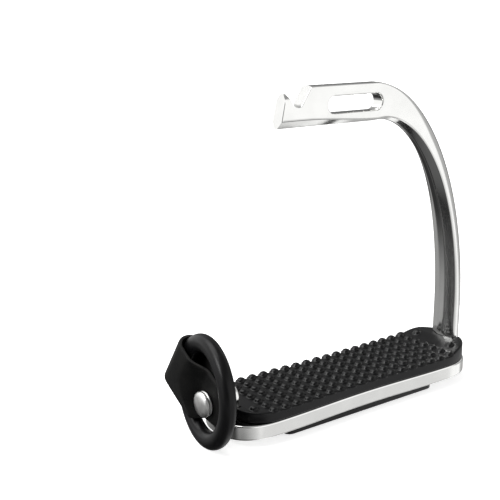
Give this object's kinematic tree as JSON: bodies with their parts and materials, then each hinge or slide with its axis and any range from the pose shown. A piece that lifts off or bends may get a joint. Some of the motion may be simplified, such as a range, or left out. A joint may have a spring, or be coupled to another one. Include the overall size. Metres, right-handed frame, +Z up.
{
  "type": "stirrup iron",
  "caption": "Open-sided safety stirrup iron: steel frame with eye bar and hook, rubber tread pad, and a rubber ring held to a stud by a folded leather tab.",
  "frame": {"origin": "centre of the tread pad's underside, on which the iron stands, midway along the footplate and midway across it", "axes": "+X along the tread from the open side with the ring to the arm, +Y across the tread, +Z up to the eye bar"},
  "size_m": [0.1504, 0.0529, 0.1415],
  "materials": {
    "polished_steel": "polished stainless steel",
    "stud_steel": "fine turned steel",
    "tread_rubber": "matte black moulded rubber",
    "ring_rubber": "satin black moulded rubber",
    "black_leather": "smooth black leather"
  },
  "bodies": {
    "iron": {"iron_frame": "polished_steel", "tread_pad": "tread_rubber", "ring_stud": "stud_steel"},
    "tab": {"leather_tab": "black_leather"},
    "ring": {"rubber_ring": "ring_rubber"}
  },
  "joints": [
    {"name": "tab_turn", "type": "hinge", "parent": "iron", "child": "tab", "pos_m": [-0.0736, 0, 0.0175], "axis": [1, 0, 0], "range_deg": [-15, 130]},
    {"name": "ring_swing", "type": "hinge", "parent": "tab", "child": "ring", "pos_m": [-0.0725, 0.01483, 0.02826], "axis": [-0.0111, 0.2351, -0.9719], "range_deg": [0, 15]}
  ]
}
